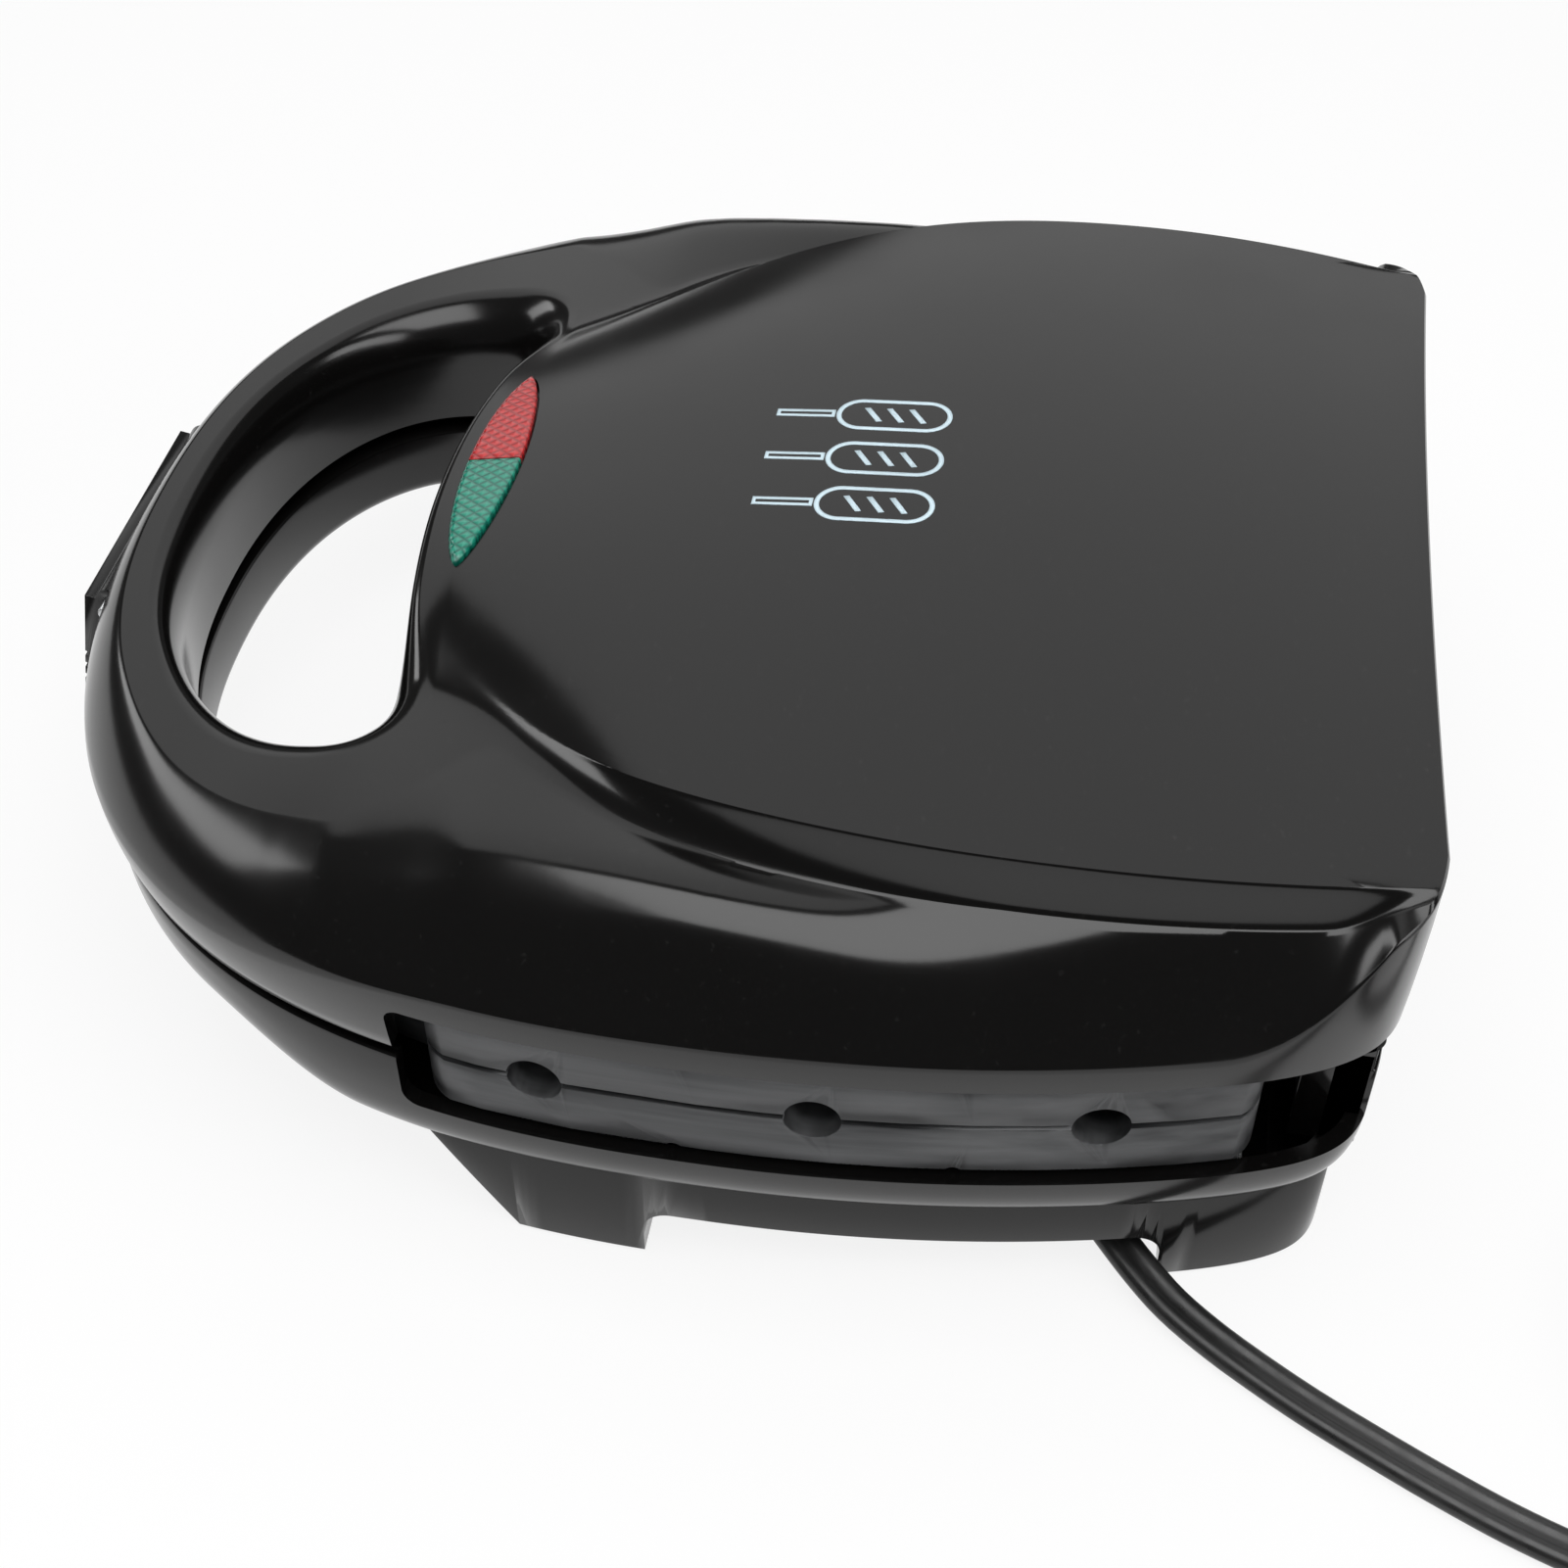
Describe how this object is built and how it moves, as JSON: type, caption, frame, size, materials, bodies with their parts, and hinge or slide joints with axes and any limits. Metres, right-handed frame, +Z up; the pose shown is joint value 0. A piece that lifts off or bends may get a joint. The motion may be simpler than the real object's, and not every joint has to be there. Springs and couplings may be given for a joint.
{
  "type": "corn dog maker",
  "caption": "Closed countertop corn dog maker with a hinged lid, a loop handle, side openings for the sticks, a front latch, two indicator lenses and a mains cord.",
  "frame": {"origin": "on the surface it stands on, in the middle of the housing with its latch", "axes": "+Z up, -Y to the handle, +Y to the hinge, +X to the side with the green lens"},
  "size_m": [0.2605, 0.3899, 0.0945],
  "materials": {
    "shell_black": "moulded, high gloss",
    "plate_coat": "die cast with a dark non-stick coat, brushed",
    "lens_red": "translucent, with prisms inside",
    "lens_green": "translucent, with prisms inside",
    "steel": "plain bright steel",
    "element_steel": "heat-tinted steel tube",
    "pale_plastic": "moulded, matte",
    "dark_plastic": "moulded, matte",
    "lamp_glass": "clear blown glass",
    "sleeve": "woven glass sleeve",
    "rubber": "soft, matte",
    "cord_jacket": "smooth vinyl jacket",
    "tie_white": "thin strip",
    "nickel": "nickel plated"
  },
  "bodies": {
    "base": {"base_shell": "shell_black", "lower_plate": "plate_coat", "lower_element": "element_steel", "lower_heat_shield": "steel", "lower_plate_screws": "steel", "thermostat": "dark_plastic", "thermostat_bracket": "steel", "thermal_fuse": "sleeve", "terminal_block": "pale_plastic", "foot_pads": "rubber", "strain_relief": "rubber", "cord_lead": "cord_jacket", "cord_coil": "cord_jacket", "cord_tie": "tie_white", "plug_body": "cord_jacket", "plug_blades": "nickel"},
    "lid": {"lid_shell": "shell_black", "upper_plate": "plate_coat", "upper_element": "element_steel", "upper_heat_shield": "steel", "upper_plate_screws": "steel", "hinge_pins": "steel", "latch_pin": "steel", "red_lens": "lens_red", "green_lens": "lens_green", "lamp_holder": "pale_plastic", "power_lamp": "lamp_glass", "ready_lamp": "lamp_glass"},
    "latch": {"latch": "shell_black"}
  },
  "joints": [
    {"name": "lid_hinge", "type": "hinge", "parent": "base", "child": "lid", "pos_m": [0, 0.1159, 0.052], "axis": [-1, 0, 0], "range_deg": [0, 100]},
    {"name": "latch_pivot", "type": "hinge", "parent": "lid", "child": "latch", "pos_m": [0, -0.112, 0.0625], "axis": [1, 0, 0], "range_deg": [-28, 12]}
  ]
}
